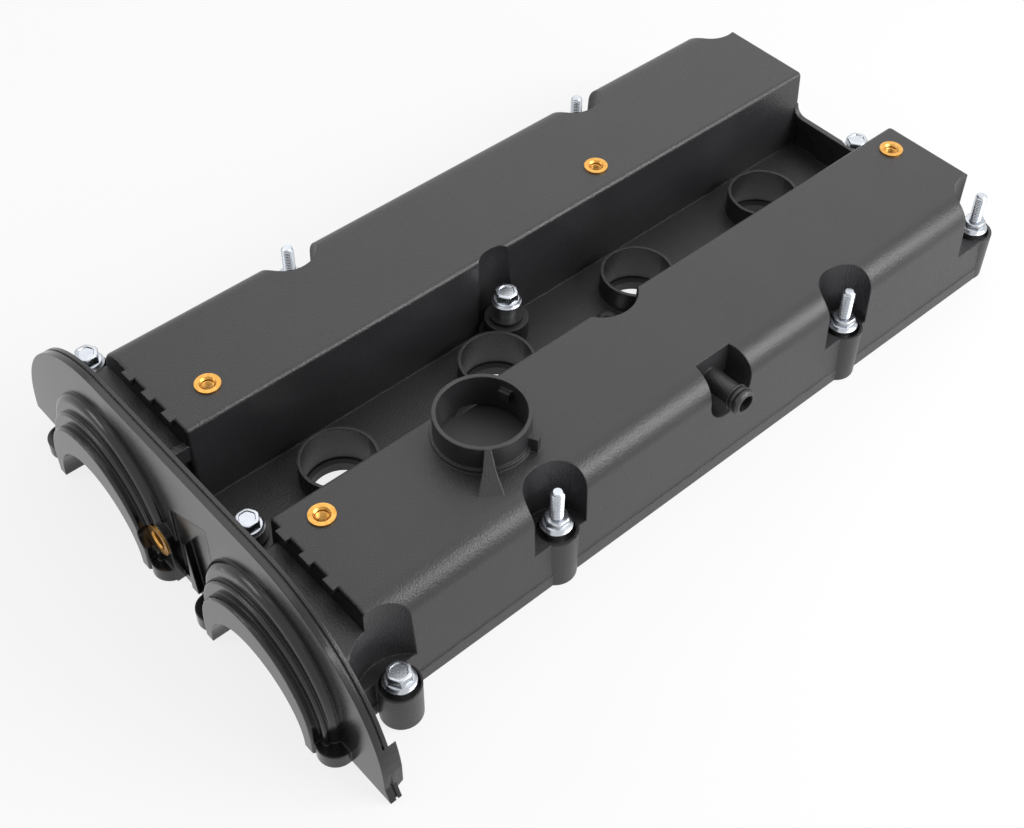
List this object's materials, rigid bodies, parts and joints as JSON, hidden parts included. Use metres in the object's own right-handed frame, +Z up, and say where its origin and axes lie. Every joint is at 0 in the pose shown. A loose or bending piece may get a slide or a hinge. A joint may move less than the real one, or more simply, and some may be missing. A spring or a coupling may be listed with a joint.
{
  "type": "engine valve cover",
  "caption": "Black plastic valve cover for a twin-cam engine: cam humps, plug tubes, oil filler neck, breather nozzle, arched timing plate, seals and captive fasteners.",
  "frame": {"origin": "on the cylinder head's joint face, on the cover's centre line, midway between the second and third cylinder", "axes": "+X along the crankshaft towards the flywheel end, the timing plate at -X; +Y across, towards the cam hump without the filler; +Z up"},
  "size_m": [0.4342, 0.2619, 0.0804],
  "materials": {
    "cover_plastic": "satin, fine grain",
    "baffle_plastic": "satin",
    "seal_rubber": "matt",
    "grommet_rubber": "matt",
    "zinc_steel": "bright zinc plate",
    "brass": "turned"
  },
  "bodies": {
    "root": {"cover": "cover_plastic", "perimeter_gasket": "seal_rubber", "plug_tube_seal_1": "seal_rubber", "plug_tube_seal_2": "seal_rubber", "plug_tube_seal_3": "seal_rubber", "plug_tube_seal_4": "seal_rubber", "far_oil_baffle": "baffle_plastic", "near_oil_baffle": "baffle_plastic", "baffle_screws": "zinc_steel", "insert_far_front": "brass", "insert_far_rear": "brass", "insert_near_front": "brass", "insert_near_rear": "brass", "insert_timing_end": "brass", "stud_bolts": "zinc_steel", "long_flange_bolts": "zinc_steel", "short_flange_bolt": "zinc_steel", "sleeve_near_front": "zinc_steel", "grommet_near_front": "grommet_rubber", "sleeve_near_middle": "zinc_steel", "grommet_near_middle": "grommet_rubber", "sleeve_near_rear": "zinc_steel", "grommet_near_rear": "grommet_rubber", "sleeve_far_front": "zinc_steel", "grommet_far_front": "grommet_rubber", "sleeve_far_middle": "zinc_steel", "grommet_far_middle": "grommet_rubber", "sleeve_far_rear": "zinc_steel", "grommet_far_rear": "grommet_rubber", "sleeve_near_corner": "zinc_steel", "grommet_near_corner": "grommet_rubber", "sleeve_far_corner": "zinc_steel", "grommet_far_corner": "grommet_rubber", "sleeve_valley_front": "zinc_steel", "grommet_valley_front": "grommet_rubber", "sleeve_valley_middle": "zinc_steel", "grommet_valley_middle": "grommet_rubber", "sleeve_valley_rear": "zinc_steel", "grommet_valley_rear": "grommet_rubber"}
  },
  "joints": []
}
